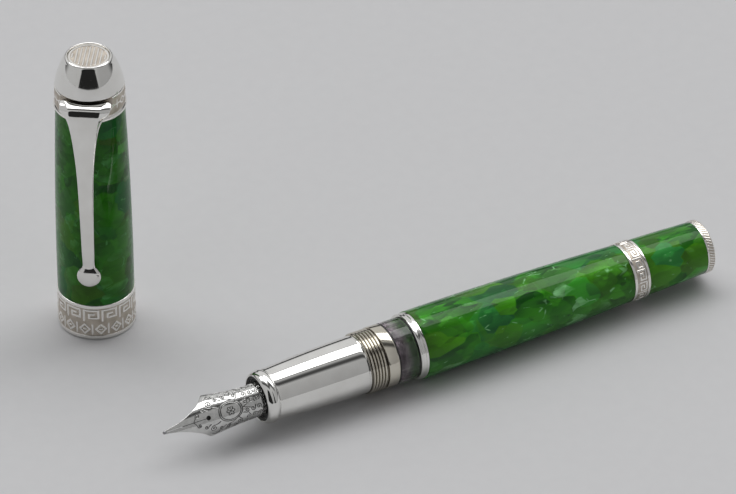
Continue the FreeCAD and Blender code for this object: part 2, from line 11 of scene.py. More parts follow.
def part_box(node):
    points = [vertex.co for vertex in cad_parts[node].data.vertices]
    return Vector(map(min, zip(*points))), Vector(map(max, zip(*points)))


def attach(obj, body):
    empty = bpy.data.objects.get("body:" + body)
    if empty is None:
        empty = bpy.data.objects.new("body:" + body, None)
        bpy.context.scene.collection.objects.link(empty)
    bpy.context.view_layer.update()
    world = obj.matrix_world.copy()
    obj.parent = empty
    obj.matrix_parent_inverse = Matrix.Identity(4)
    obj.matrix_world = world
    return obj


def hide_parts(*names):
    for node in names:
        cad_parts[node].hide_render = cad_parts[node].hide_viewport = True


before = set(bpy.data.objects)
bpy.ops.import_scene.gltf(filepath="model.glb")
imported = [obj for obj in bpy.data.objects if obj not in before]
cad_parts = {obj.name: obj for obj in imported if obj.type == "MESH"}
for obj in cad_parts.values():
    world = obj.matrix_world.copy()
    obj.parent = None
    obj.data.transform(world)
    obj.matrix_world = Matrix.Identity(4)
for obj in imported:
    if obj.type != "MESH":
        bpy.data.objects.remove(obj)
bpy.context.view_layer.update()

MM = 0.001
TAU = 2 * math.pi

# ---- where the pen and the cap stand -------------------------------------------------------------


def middle(node):
    low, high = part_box(node)
    return (low + high) / 2


POINT_REACH = 0.70    # how far the nib's point lies ahead of station 0
PEN = Vector((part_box("nib_tipping")[0].x + POINT_REACH * MM, middle("barrel").y, middle("barrel").z))
CAP = Vector((middle("cap_tube").x, middle("cap_tube").y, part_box("cap_lip_band")[0].z))
NIB_ROLL = math.radians(58)
CLIP_BEARING = math.radians(-124.9)


def on_pen(points):
    """(station, y, z) about the pen's axis, in mm, to metres in the row frame."""
    return np.asarray(points, float) * MM + np.array(PEN)


def on_cap(points):
    """(radius cos, radius sin, station) about the cap's axis, in mm, to metres in the row frame."""
    return np.asarray(points, float) * MM + np.array(CAP)


def rolled(points):
    """(station, across, up) of the nib, leaning about the pen's axis as the nib does."""
    p = np.asarray(points, float)
    c, s = math.cos(NIB_ROLL), math.sin(NIB_ROLL)
    return np.stack([p[:, 0], p[:, 1] * c - p[:, 2] * s, p[:, 1] * s + p[:, 2] * c], 1)


def facing_clip(points):
    """(out, across, up) in the clip's own directions, turned to its bearing."""
    p = np.asarray(points, float)
    c, s = math.cos(CLIP_BEARING), math.sin(CLIP_BEARING)
    return np.stack([p[:, 0] * c - p[:, 1] * s, p[:, 0] * s + p[:, 1] * c, p[:, 2]], 1)


# ---- meshes --------------------------------------------------------------------------------------

SHARP = math.radians(42)


def smoothstep(low, high, x):
    t = np.clip((x - low) / (high - low), 0, 1)
    return t * t * (3 - 2 * t)


def piece(name, points, faces, body, stands_for, material, marks=None, weld=False):
    """A mesh object from metres and quads; marks are named values per point for its material."""
    mesh = bpy.data.meshes.new(name)
    points, faces = np.asarray(points, np.float32), np.asarray(faces, np.int32)
    mesh.vertices.add(len(points))
    mesh.vertices.foreach_set("co", points.ravel())
    mesh.loops.add(faces.size)
    mesh.loops.foreach_set("vertex_index", faces.ravel())
    mesh.polygons.add(len(faces))
    mesh.polygons.foreach_set("loop_start", np.arange(0, faces.size, faces.shape[1], dtype=np.int32))
    mesh.update(calc_edges=True)
    for key, values in (marks or {}).items():
        layer = mesh.attributes.new(key, "FLOAT", "POINT")
        layer.data.foreach_set("value", np.asarray(values, np.float32).ravel())
    if weld:
        work = bmesh.new()
        work.from_mesh(mesh)
        bmesh.ops.remove_doubles(work, verts=work.verts, dist=1e-7)
        work.to_mesh(mesh)
        work.free()
    mesh.validate()
    mesh.polygons.foreach_set("use_smooth", np.ones(len(mesh.polygons), bool))
    mesh.set_sharp_from_angle(angle=SHARP)
    mesh.materials.append(material)
    made = bpy.data.objects.new(name, mesh)
    bpy.context.scene.collection.objects.link(made)
    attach(made, body)
    if stands_for:
        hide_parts(*stands_for)
    return made


ROUNDING_STEPS = 4


def rounded(corners, radius):
    """A closed outline of (station, radius) with its sharp corners rounded."""
    pts = [np.array(c[:2], float) for c in corners]
    size = [c[2] if len(c) > 2 else radius for c in corners]
    out = []
    for i, p in enumerate(pts):
        back, ahead = pts[i - 1] - p, pts[(i + 1) % len(pts)] - p
        lb, la = np.linalg.norm(back), np.linalg.norm(ahead)
        cosine = np.dot(back, ahead) / (lb * la)
        if p[1] < 1e-6 or size[i] <= 0 or cosine < math.cos(math.radians(170)):
            out.append(p)
            continue
        half = math.acos(np.clip(cosine, -1, 1)) / 2
        reach = min(size[i] / math.tan(half), 0.45 * lb, 0.45 * la)
        a, b = p + back / lb * reach, p + ahead / la * reach
        for t in np.linspace(0, 1, ROUNDING_STEPS + 1):
            out.append((1 - t) ** 2 * a + 2 * t * (1 - t) * p + t * t * b)
    return out


def bow(start, end, curve, count=28):
    """Points of an arc between two (station, radius) points; a positive curve bulges outwards."""
    a, b = np.array(start, float), np.array(end, float)
    along = b - a
    length = np.linalg.norm(along)
    left = np.array([-along[1], along[0]]) / length
    if left[1] < 0:
        left = -left
    t = np.linspace(-1, 1, count)[1:-1]
    depth = abs(curve) - math.sqrt(curve * curve - length * length / 4)
    rise = np.sqrt(curve * curve - (t * length / 2) ** 2) - (abs(curve) - depth)
    return [tuple(a + along * (k + 1) / 2 + left * math.copysign(1, curve) * r) + (0,)
            for k, r in zip(t, rise)]


def dense(start, end, count):
    """Close, unrounded points of a straight run, for a skin that carries relief."""
    a, b = np.array(start, float), np.array(end, float)
    return [tuple(a + (b - a) * t) + (0,) for t in np.linspace(0, 1, count)]


def lathe(name, corners, where, body, stands_for, material, segments=320, relief=None, radius=0.06):
    """Turn a closed outline about the pen's or the cap's axis.
    relief(station, radius, angle) gives how far the skin stands out and how polished it is there."""
    line = np.array(rounded(corners, radius))
    s, r = line[:, 0], line[:, 1]
    if np.sum(s * np.roll(r, -1) - np.roll(s, -1) * r) > 0:
        line = line[::-1]
        s, r = line[:, 0], line[:, 1]
    tangent = np.roll(line, -1, 0) - np.roll(line, 1, 0)
    tangent /= np.maximum(np.linalg.norm(tangent, axis=1, keepdims=True), 1e-9)
    normal = np.stack([-tangent[:, 1], tangent[:, 0]], 1)
    angle = np.arange(segments) / segments * TAU
    station = np.repeat(s[:, None], segments, 1)
    radial = np.repeat(r[:, None], segments, 1)
    turn = np.repeat(angle[None], len(s), 0)
    marks = {}
    if relief:
        height, shine = relief(station, radial, turn)
        station = station + height * normal[:, :1]
        radial = radial + height * normal[:, 1:]
        marks = {"shine": shine}
    spun = [station, radial * np.cos(turn), radial * np.sin(turn)]
    if where is on_cap:
        spun = spun[1:] + spun[:1]
    points = np.stack([p.ravel() for p in spun], 1)
    row, col = np.meshgrid(np.arange(len(s)), np.arange(segments), indexing="ij")
    next_row, next_col = (row + 1) % len(s), (col + 1) % segments
    faces = np.stack([row * segments + col, row * segments + next_col,
                      next_row * segments + next_col, next_row * segments + col], -1).reshape(-1, 4)
    on_axis = (r[row] < 1e-6) & (r[next_row] < 1e-6)
    faces = faces[~on_axis.ravel()]
    return piece(name, where(points), faces, body, stands_for, material, marks,
                 weld=bool((r < 1e-6).any()))


def stroke_distance(u, v, strokes):
    """How far each (u, v) lies from the nearest of some straight strokes."""
    best = np.full(u.shape, 1e9)
    for (au, av), (bu, bv) in strokes:
        du, dv = bu - au, bv - av
        t = np.clip(((u - au) * du + (v - av) * dv) / (du * du + dv * dv), 0, 1)
        best = np.minimum(best, np.hypot(u - au - t * du, v - av - t * dv))
    return best


def chain(*corners):
    return list(zip(corners[:-1], corners[1:]))


FRET = chain((0.08, 0.0), (0.08, 1.0), (0.86, 1.0), (0.86, 0.27), (0.36, 0.27), (0.36, 0.64), (0.62, 0.64))
LOZENGE = (chain((0.05, 0.5), (0.36, 0.95), (0.67, 0.5), (0.36, 0.05), (0.05, 0.5))
           + [((0.3, 0.5), (0.42, 0.5))] + [((0.84, 0.04), (0.84, 0.96))])
LEAF = (chain((0.0, 0.5), (0.25, 0.8), (0.5, 0.5), (0.25, 0.2), (0.0, 0.5)) + [((0.5, 0.5), (1.0, 0.5))]
        + [((0.75, 0.15), (0.75, 0.85))])
ROPE = [((0.1, 0.0), (0.9, 1.0))]


def frieze(angle, station, low, high, repeats, strokes, width, girth):
    """Raised strokes of one repeating row between two stations: 1 on a stroke, 0 on the ground."""
    pitch = TAU * girth / repeats
    u = (angle / TAU * repeats) % 1.0
    v = (station - low) / (high - low)
    tall = high - low
    scaled = [((au * pitch, av * tall), (bu * pitch, bv * tall)) for (au, av), (bu, bv) in strokes]
    near = stroke_distance(u * pitch, v * tall, scaled)
    inside = (station > low - width) & (station < high + width)
    return (1 - smoothstep(width * 0.5 - 0.05, width * 0.5 + 0.07, near)) * inside


# ---- materials -----------------------------------------------------------------------------------


class Shade:
    """One material's node tree, with short ways to add nodes."""

    def __init__(self, name, **sockets):
        self.material = bpy.data.materials.new(name)
        self.material.use_nodes = True
        self.tree = self.material.node_tree
        self.tree.nodes.clear()
        self.bsdf = self.tree.nodes.new("ShaderNodeBsdfPrincipled")
        out = self.tree.nodes.new("ShaderNodeOutputMaterial")
        self.tree.links.new(self.bsdf.outputs[0], out.inputs["Surface"])
        for key, value in sockets.items():
            self.put(self.bsdf, key.replace("_", " "), value)

    def put(self, node, key, value):
        socket = node.inputs[key]
        if isinstance(value, bpy.types.NodeSocket):
            self.tree.links.new(value, socket)
        elif isinstance(value, tuple) and len(value) == 3 and socket.type == "RGBA":
            socket.default_value = value + (1.0,)
        else:
            socket.default_value = value

    def add(self, kind, inputs=None, **settings):
        node = self.tree.nodes.new("ShaderNode" + kind)
        for key, value in settings.items():
            setattr(node, key, value)
        for key, value in (inputs or {}).items():
            self.put(node, key, value)
        return node

    def math(self, operation, a, b=0.0, clamp=False):
        return self.add("Math", {0: a, 1: b}, operation=operation, use_clamp=clamp).outputs[0]

    def vector(self, operation, a, b=(0.0, 0.0, 0.0), scale=None):
        node = self.add("VectorMath", {0: a}, operation=operation)
        if scale is None:
            self.put(node, 1, b)
        else:
            self.put(node, "Scale", scale)
        return node.outputs["Value" if operation in ("LENGTH", "DOT_PRODUCT") else "Vector"]

    def place(self, scale=(1.0, 1.0, 1.0)):
        """Object coordinates in mm, stretched."""
        where = self.add("TexCoord").outputs["Object"]
        return self.add("Mapping", {"Vector": where, "Scale": tuple(k / MM for k in scale)}).outputs[0]

    def noise(self, where, scale, detail=2.0, output="Fac", roughness=0.5):
        return self.add("TexNoise", {"Vector": where, "Scale": scale, "Detail": detail,
                                     "Roughness": roughness}).outputs[output]

    def ramp(self, value, stops):
        node = self.add("ValToRGB", {"Fac": value})
        elements = node.color_ramp.elements
        while len(elements) < len(stops):
            elements.new(0.5)
        for element, (at, colour) in zip(elements, stops):
            element.position = at
            element.color = colour + (1.0,)
        return node.outputs["Color"]

    def range(self, value, low, high, from_low=0.0, from_high=1.0):
        return self.add("MapRange", {"Value": value, "From Min": from_low, "From Max": from_high,
                                     "To Min": low, "To Max": high}).outputs[0]

    def mix(self, factor, a, b):
        node = self.add("Mix", {"Factor": factor}, data_type="RGBA")
        self.put(node, 6, a)
        self.put(node, 7, b)
        return node.outputs[2]

    def mark(self, name):
        return self.add("Attribute", attribute_name=name).outputs["Fac"]

    def bump(self, height, strength, distance):
        return self.add("Bump", {"Height": height, "Strength": strength, "Distance": distance * MM}).outputs[0]

    def finish(self, **sockets):
        for key, value in sockets.items():
            self.put(self.bsdf, key.replace("_", " "), value)
        return self.material


ALONG_PEN, ALONG_CAP = (6.0, 0.35, 0.35), (0.35, 0.35, 6.0)


def polished(name, colour, dull, grain, rough=0.05, valleys=None):
    """Mirror-polished metal: lathe-fine lines, faint haze and the odd hairline; valleys hold tarnish."""
    m = Shade(name, Metallic=1.0)
    lines = m.noise(m.place(grain), 3.0, 3.0)
    haze = m.noise(m.place(), 0.22, 4.0)
    hair = m.noise(m.place((0.5, 3.5, 1.7)), 2.2, 6.0, roughness=0.7)
    tone = m.mix(m.range(haze, 0.0, 1.0, 0.35, 0.75), colour, dull)
    if valleys:
        tone = m.mix(m.mark("shine"), valleys, tone)
    gloss = m.math("ADD", m.range(haze, rough * 0.7, rough * 1.6, 0.3, 0.7),
                   m.range(hair, 0.0, rough * 1.2, 0.55, 0.75))
    return m.finish(Base_Color=tone, Roughness=gloss, Normal=m.bump(lines, 0.25, 0.0035))


def frosted(name, grain):
    """Silver with a sand-frosted, slightly tarnished ground and polished raised parts."""
    m = Shade(name, Metallic=1.0)
    shine = m.mark("shine")
    sand = m.noise(m.place(), 9.0, 5.0, roughness=0.75)
    stain = m.noise(m.place(), 0.5, 4.0)
    ground = m.mix(m.range(stain, 0.0, 1.0, 0.3, 0.75), (0.62, 0.565, 0.495), (0.43, 0.38, 0.32))
    tone = m.mix(shine, ground, (0.90, 0.885, 0.85))
    rough = m.math("ADD", m.range(shine, 0.44, 0.13), m.range(sand, -0.05, 0.06, 0.3, 0.7))
    lines = m.noise(m.place(grain), 4.0, 2.0)
    height = m.math("ADD", m.math("MULTIPLY", sand, m.range(shine, 1.0, 0.05)), m.math("MULTIPLY", lines, 0.15))
    return m.finish(Base_Color=tone, Roughness=rough, Normal=m.bump(height, 0.45, 0.035))


def nib_metal():
    m = Shade("nib_rhodium", Metallic=1.0)
    cut = m.mark("cut")
    stain = m.noise(m.place(), 1.3, 4.0)
    brushed = m.noise(m.place((0.6, 5.0, 5.0)), 3.0, 4.0)
    plate = m.mix(m.range(stain, 0.0, 1.0, 0.35, 0.75), (0.69, 0.69, 0.675), (0.56, 0.56, 0.545))
    # Painted shade: the plate is coloured near-black wherever the cut mark is set, in the engraved lines and in
    # the painted dark line along the sheet's edges.
    tone = m.mix(m.range(cut, 0.0, 0.93), plate, (0.018, 0.017, 0.015))
    rough = m.math("ADD", m.range(cut, 0.10, 0.42), m.range(brushed, -0.03, 0.05, 0.3, 0.7))
    return m.finish(Base_Color=tone, Roughness=rough, Normal=m.bump(brushed, 0.2, 0.004))


def pearl_resin(name, deep, mid, bright, olive, teal, pale, seed, contrast):
    """Cast resin: broad angular shards of pearl, each shading from one side to the other, in a clear skin."""
    m = Shade(name, Coat_Weight=0.45 + 0.3 * contrast, Coat_Roughness=0.03, Coat_IOR=1.34, IOR=1.45, Metallic=0.26,
              Specular_IOR_Level=0.06)
    base = m.vector("ADD", m.place(), (seed, seed * 0.7, seed * 1.3))
    drift = m.vector("SCALE", m.vector("SUBTRACT", m.noise(base, 0.13, 1.0, "Color"), (0.5, 0.5, 0.5)), scale=1.1)
    bent = m.vector("ADD", base, drift)

    def shards(scale, stretch, softness):
        """Random colour of each shard, and how far across it a point lies, about -1 to 1."""
        where = m.add("Mapping", {"Vector": bent, "Scale": stretch, "Rotation": (0.5, 0.3, 0.9)}).outputs[0]
        cell = m.add("TexVoronoi", {"Vector": where, "Scale": scale}, distance="CHEBYCHEV", feature="SMOOTH_F1")
        m.put(cell, "Smoothness", softness)
        tint = m.vector("SUBTRACT", cell.outputs["Color"], (0.5, 0.5, 0.5))
        offset = m.vector("SUBTRACT", where, cell.outputs["Position"])
        slope = m.math("MULTIPLY", m.vector("DOT_PRODUCT", offset, tint), 2.4 * scale)
        return cell.outputs["Color"], tint, slope, where

    small_scale = 0.42
    big, big_tint, big_slope, _ = shards(0.19, (0.8, 1.25, 1.0), 0.10)
    small, small_tint, small_slope, small_where = shards(small_scale, (0.55, 1.5, 1.0), 0.20)
    broad = m.add("SeparateColor", {"Color": big}).outputs
    fine = m.add("SeparateColor", {"Color": small}).outputs
    cloud = m.noise(bent, 0.12, 3.0)
    streak = m.noise(m.add("Mapping", {"Vector": bent, "Scale": (0.25, 1.2, 0.7),
                                       "Rotation": (0.2, 0.5, 0.4)}).outputs[0], 0.9, 3.0)
    level = m.math("ADD", m.range(broad[0], 0.20, 0.56), m.math("MULTIPLY", big_slope, 0.50 * contrast))
    level = m.math("ADD", level, m.math("MULTIPLY", m.range(fine[1], -0.09, 0.12), contrast))
    level = m.math("ADD", level, m.math("MULTIPLY", small_slope, 0.30 * contrast))
    level = m.math("ADD", level, m.range(cloud, -0.12, 0.13, 0.3, 0.7))
    level = m.math("ADD", level, m.range(streak, -0.05, 0.10, 0.35, 0.75), clamp=True)
    body = m.ramp(level, [(0.04, deep), (0.34, mid), (0.66, bright), (0.95, tuple(k * 1.3 for k in bright))])
    dark_olive, dark_teal = tuple(k * 0.6 for k in olive), tuple(k * 0.5 for k in teal)
    body = m.mix(m.range(broad[1], 0.0, 0.55, 0.45, 0.9), body, m.mix(level, dark_olive, olive))
    body = m.mix(m.range(broad[2], 0.0, 0.6, 0.6, 0.95), body, m.mix(level, dark_teal, teal))
    # Painted reflection: towards grazing angles the colour turns teal, standing in for the floor reflected in the
    # resin's skin.
    rim = m.add("LayerWeight", {"Blend": 0.42}).outputs["Facing"]
    body = m.mix(m.range(rim, 0.0, 0.75, 0.55, 0.95), body, tuple(k * 0.8 for k in teal))
    is_pale = m.range(fine[0], 0.0, 1.0, 0.88, 0.95)
    body = m.mix(m.math("MULTIPLY", is_pale, m.range(streak, 0.05, 0.7 * contrast, 0.4, 0.7)), body, pale)
    # Painted highlights: pale streaks along some shard seams, standing in for glints of light.
    seam = m.add("TexVoronoi", {"Vector": small_where, "Scale": small_scale}, feature="DISTANCE_TO_EDGE")
    painted_glint = m.math("MULTIPLY", m.range(seam.outputs["Distance"], 0.8 * contrast, 0.0, 0.012, 0.05),
                   m.range(m.noise(bent, 0.42, 2.0), 0.0, 1.0, 0.60, 0.68))
    body = m.mix(painted_glint, body, pale)
    lean = m.vector("ADD", m.vector("SCALE", big_tint, scale=0.34 * contrast),
                    m.vector("SCALE", small_tint, scale=0.20 * contrast))
    facing = m.vector("NORMALIZE", m.vector("ADD", m.add("NewGeometry").outputs["Normal"], lean))
    dullness = m.range(m.noise(bent, 1.6, 3.0), 0.30, 0.48, 0.3, 0.7)
    return m.finish(Base_Color=body, Normal=facing, Roughness=dullness)


def moulded(name, colour, rough, **sockets):
    """Plain moulded or turned plastic: faint mottling, turning marks and softened gloss."""
    m = Shade(name, **sockets)
    mottle = m.noise(m.place(), 0.6, 5.0)
    grain = m.noise(m.place((3.0, 0.8, 0.8)), 3.0, 4.0)
    tone = m.mix(m.range(mottle, 0.0, 1.0, 0.3, 0.7), colour, tuple(min(1.0, k * 1.5 + 0.004) for k in colour))
    gloss = m.range(mottle, rough * 0.8, min(1.0, rough * 1.25), 0.3, 0.7)
    return m.finish(Base_Color=tone, Roughness=gloss, Normal=m.bump(grain, 0.2, 0.01))


GREEN_BACK = (51.4, 52.4)    # stations between which the window turns green


def clear(name, colour, rough, streak, green_back=False):
    """Transparent moulding with a little ink haze clinging to it, and the barrel's green towards its back."""
    m = Shade(name, Transmission_Weight=0.86 if green_back else 1.0, IOR=1.49)
    haze = m.noise(m.place((0.8, 0.5, 0.5)), 0.9, 4.0)
    tone = m.mix(m.range(haze, 0.0, 1.0, 0.4, 0.62), colour, streak)
    if green_back:
        along = m.add("SeparateXYZ", {"Vector": m.add("TexCoord").outputs["Object"]}).outputs[0]
        near_barrel = m.range(along, 0.0, 0.85, *(PEN.x + station * MM for station in GREEN_BACK))
        tone = m.mix(near_barrel, tone, (0.07, 0.25, 0.04))
    return m.finish(Base_Color=tone, Roughness=m.range(haze, rough, rough * 2.5, 0.35, 0.7),
                    Normal=m.bump(haze, 0.15, 0.02))


SILVER_PEN = polished("polished_silver_pen", (0.86, 0.855, 0.83), (0.76, 0.75, 0.72), ALONG_PEN)
SILVER_CAP = polished("polished_silver_cap", (0.86, 0.855, 0.83), (0.78, 0.77, 0.74), ALONG_CAP)
COLLAR_SILVER = polished("thread_silver", (0.70, 0.665, 0.585), (0.56, 0.53, 0.45), ALONG_PEN, 0.09,
                         (0.15, 0.135, 0.11))
FROST_PEN = frosted("frosted_silver_pen", ALONG_PEN)
FROST_CAP = frosted("frosted_silver_cap", ALONG_CAP)
NIB_METAL = nib_metal()
TIPPING = polished("tipping_alloy", (0.42, 0.42, 0.43), (0.25, 0.25, 0.26), (1.0, 1.0, 1.0), 0.12)
GREEN_PEN = pearl_resin("green_resin_barrel", (0.009, 0.076, 0.008), (0.020, 0.160, 0.008), (0.037, 0.255, 0.010),
                        (0.085, 0.265, 0.003), (0.018, 0.190, 0.062), (0.26, 0.60, 0.27), 11.0, 1.0)
GREEN_CAP = pearl_resin("green_resin_cap", (0.007, 0.062, 0.003), (0.016, 0.125, 0.004), (0.027, 0.195, 0.006),
                        (0.060, 0.170, 0.001), (0.012, 0.180, 0.052), (0.12, 0.44, 0.13), 37.0, 0.5)
BLACK_SEAL = moulded("black_seal", (0.010, 0.010, 0.011), 0.35)
EBONITE = moulded("black_ebonite", (0.014, 0.013, 0.012), 0.34)
BLACK = moulded("black_moulding", (0.010, 0.010, 0.010), 0.42, Specular_IOR_Level=0.25)
WHITE = moulded("white_washer", (0.62, 0.61, 0.58), 0.4)
BRASS = polished("brass_works", (0.72, 0.52, 0.22), (0.55, 0.38, 0.15), ALONG_PEN, 0.14)
STEEL = polished("steel_screw", (0.55, 0.55, 0.55), (0.42, 0.42, 0.42), ALONG_CAP, 0.15)
SMOKY = clear("smoky_window", (0.88, 0.76, 0.84), 0.02, (0.20, 0.15, 0.18), True)
TUBE = clear("clear_tube", (0.86, 0.85, 0.88), 0.03, (0.66, 0.62, 0.68))

for node, material in {
        "feed": EBONITE, "nib_collar": BLACK, "reservoir_tube": TUBE, "spindle_guide": BLACK,
        "piston_head": BLACK, "piston_seals": BLACK_SEAL, "piston_rod": BLACK, "drive_spindle": BRASS,
        "thrust_washer": WHITE, "cap_thread_bush": BLACK, "inner_cap": BLACK, "finial_screw": STEEL}.items():
    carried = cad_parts[node]
    carried.data.materials.clear()
    carried.data.materials.append(material)
    for face in carried.data.polygons:
        face.use_smooth = True
    carried.data.set_sharp_from_angle(angle=SHARP)

# ---- section, window and barrel ------------------------------------------------------------------

THREAD_FRONT, THREAD_BACK, PITCH = 43.0, 46.96, 0.66


def thread(station, radius, angle):
    """A right-handed rounded thread that runs out at both ends."""
    on_skin = (radius > 5.5) & (station > THREAD_FRONT) & (station < THREAD_BACK)
    phase = ((station - THREAD_FRONT) / PITCH + angle / TAU) % 1.0
    ridge = np.clip(1.25 * np.sin(math.pi * phase) ** 1.6, 0, 1)
    ends = smoothstep(THREAD_FRONT, THREAD_FRONT + 0.35, station) \
        * (1 - smoothstep(THREAD_BACK - 0.35, THREAD_BACK, station))
    return on_skin * ends * 0.30 * ridge, np.where(on_skin, smoothstep(0.10, 0.80, ridge * ends), 1.0)


lathe("section_grip", [
    (21.5, 4.0, 0.03), (21.5, 4.53, 0.03), (20.98, 4.53, 0.05), (20.9, 4.60, 0.05),
    *bow((20.9, 4.62), (22.1, 5.31), 1.25, 12), (22.1, 5.31, 0),
    *bow((22.1, 5.31), (23.3, 5.17), 1.25, 10), (23.3, 5.17, 0.04), (23.34, 5.10, 0.02), (23.44, 5.10, 0.02),
    (23.5, 5.18, 0.04),
    *bow((23.5, 5.18), (43.0, 5.90), 290, 40), (42.7, 5.89, 0.03), (42.8, 5.82, 0.02), (43.0, 5.88, 0.04),
    (43.2, 5.88, 0.02), (43.2, 5.0, 0.02), (41.0, 5.0, 0.02), (41.0, 4.0, 0.05)],
    on_pen, "pen", ["section_sleeve"], SILVER_PEN)
lathe("section_threads", [
    (43.2, 5.0, 0.02), (43.2, 5.9, 0.02), *dense((43.22, 5.92), (46.94, 5.92), 240), (46.96, 5.95, 0.02),
    (46.98, 6.27, 0.06), (47.05, 6.30, 0), (49.2, 6.30, 0.05), (49.35, 6.22, 0.05), (49.35, 5.0, 0.02)],
    on_pen, "pen", None, COLLAR_SILVER, relief=thread)
# Painted shade: a black ring set into the mouth between the nib and the silver lip stands in for the shade inside
# the mouth.
lathe("mouth_shade_ring", [(21.2, 3.99), (21.2, 4.515, 0.04), (21.48, 4.515), (21.48, 3.99)],
      on_pen, "pen", None, BLACK)
lathe("window_back_seal", [(53.62, 5.30), (53.62, 6.20, 0.04), (53.84, 6.20, 0.04), (53.84, 5.30)],
      on_pen, "pen", None, BLACK_SEAL)
lathe("window_seal", [(49.35, 5.0), (49.35, 6.18, 0.04), (49.6, 6.18, 0.04), (49.6, 5.0)],
      on_pen, "pen", ["section_seal"], BLACK_SEAL)


def flutes(station, radius, angle):
    """Moulded flutes along the window's bore."""
    bore = radius < 4.7
    return bore * 0.16 * (0.5 + 0.5 * np.cos(angle * 9)) ** 2, np.ones(station.shape)


lathe("ink_window_shell", [
    (41.1, 4.62), (41.1, 4.96), (49.62, 4.96), (49.62, 6.26, 0.08), *dense((49.9, 6.26), (53.4, 6.26), 6),
    (53.61, 6.26, 0.06), (53.61, 5.26), (58.0, 5.26), (58.0, 4.62), *dense((57.5, 4.62), (42.0, 4.62), 30)],
    on_pen, "pen", ["ink_window"], SMOKY, relief=flutes)
lathe("barrel_front_ring", [
    (53.85, 5.31), (53.85, 6.62, 0.08), (53.97, 6.78, 0.08), (54.32, 6.78, 0.08), (54.42, 6.60, 0.05),
    (54.93, 6.60, 0.05), (55.03, 6.78, 0.08), (55.5, 6.78, 0.06), (55.5, 5.31)],
    on_pen, "pen", ["barrel_ring"], SILVER_PEN)
lathe("barrel_tube", [
    (55.5, 5.31), (55.5, 6.89, 0.14), *bow((55.5, 6.89), (102.95, 5.90), 1126, 60), (102.95, 5.90, 0.08),
    (102.95, 5.31)], on_pen, "pen", ["barrel"], GREEN_PEN)

BAND = (102.95, 106.52)
BAND_RIM = 0.55


def band_pattern(station, radius, angle):
    key = frieze(angle, station, BAND[0] + 0.95, BAND[1] - 0.95, 15, FRET, 0.30, 5.97)
    rim = (station < BAND[0] + BAND_RIM + 0.03) | (station > BAND[1] - BAND_RIM - 0.03)
    outer = radius > 5.9
    return outer * key * 0.10 * ~rim, np.where(rim, 1.0, key)


lathe("barrel_pattern_band", [
    (BAND[0], 4.22), (BAND[0], 6.09, 0.1), (BAND[0] + BAND_RIM, 6.09, 0.1),
    (BAND[0] + BAND_RIM + 0.05, 5.97, 0.03), *dense((BAND[0] + 0.68, 5.97), (BAND[1] - 0.68, 5.97), 70),
    (BAND[1] - BAND_RIM - 0.05, 5.97, 0.03), (BAND[1] - BAND_RIM, 6.09, 0.1), (BAND[1], 6.09, 0.1),
    (BAND[1], 4.22)],
    on_pen, "pen", ["barrel_band"], FROST_PEN, segments=900, relief=band_pattern)

# ---- knob ----------------------------------------------------------------------------------------

lathe("piston_knob_shell", [
    (106.62, 4.46), (106.62, 5.86, 0.14), *bow((106.62, 5.86), (120.3, 5.39), 400, 24), (120.3, 5.39, 0.04),
    (120.3, 3.62), (118.7, 3.62), (118.7, 3.64), (114.22, 3.64), (114.22, 4.46)],
    on_pen, "knob", ["piston_knob"], GREEN_PEN)


ROPE_ROW, LEAF_ROW = (120.66, 121.66), (53.1, 55.5)


def end_ring_pattern(station, radius, angle):
    rope = frieze(angle, station, *ROPE_ROW, 58, ROPE, 0.20, 5.45)
    outer = radius > 5.4
    return outer * rope * 0.045, np.where(outer, np.maximum(rope, (station < 120.58) | (station > 121.76)), 1.0)


lathe("knob_end_ring_shell", [
    (120.3, 3.6), (120.3, 5.45, 0.06), *dense((120.5, 5.45), (121.75, 5.45), 34),
    (121.85, 5.45, 0), (122.18, 5.12, 0.24), (122.18, 3.6, 0.05)],
    on_pen, "knob", ["knob_end_ring"], FROST_PEN, segments=800, relief=end_ring_pattern)


def turned_face(station, radius, angle):
    face = (station > 121.9) & (radius < 3.5)
    return face * 0.02 * np.sin(radius * 9.0), np.ones(station.shape)


crown = [(122.2 + 0.36 * (1 - (k / 3.5) ** 2), k, 0) for k in np.linspace(3.5, 0.0, 60)]
lathe("knob_end_disc_face", [
    (118.7, 0.0), (118.7, 3.58), (122.18, 3.58, 0.04), *crown],
    on_pen, "knob", ["knob_end_disc"], SILVER_PEN, relief=turned_face)

# ---- nib -----------------------------------------------------------------------------------------


def spline(x, xs, ys):
    """Natural cubic through a few known values."""
    xs, ys = np.array(xs, float), np.array(ys, float)
    n, h = len(xs), np.diff(xs)
    a, b = np.zeros((n, n)), np.zeros(n)
    a[0, 0] = a[-1, -1] = 1
    for i in range(1, n - 1):
        a[i, i - 1:i + 2] = h[i - 1], 2 * (h[i - 1] + h[i]), h[i]
        b[i] = 6 * ((ys[i + 1] - ys[i]) / h[i] - (ys[i] - ys[i - 1]) / h[i - 1])
    bend = np.linalg.solve(a, b)
    k = np.clip(np.searchsorted(xs, x) - 1, 0, n - 2)
    left, right, wide = x - xs[k], xs[k + 1] - x, h[k]
    return (bend[k] * right ** 3 + bend[k + 1] * left ** 3) / (6 * wide) \
        + (ys[k] / wide - bend[k] * wide / 6) * right + (ys[k + 1] / wide - bend[k + 1] * wide / 6) * left


NIB_POINT, NIB_SHOULDER, NIB_TAIL = -0.15, 10.1, 31.0
NIB_FRONT = [(NIB_POINT, 2.45, 2.50, 9), (2.4, 3.0, 2.62, 16), (4.4, 3.4, 2.74, 24.5), (6.5, 3.8, 2.86, 37),
             (8.4, 4.05, 2.96, 54), (NIB_SHOULDER, 4.17, 3.02, 85)]
NIB_BACK = [(NIB_SHOULDER, 4.17, 3.02, 85), (14.0, 3.68, 3.28, 85), (18.0, 3.40, 3.40, 84),
            (24.0, 3.40, 3.40, 84), (NIB_TAIL, 3.40, 3.40, 84)]
HOLE_AT, HOLE_RADIUS, SLIT_HALF, SHEET = 9.0, 0.46, 0.05, 0.35


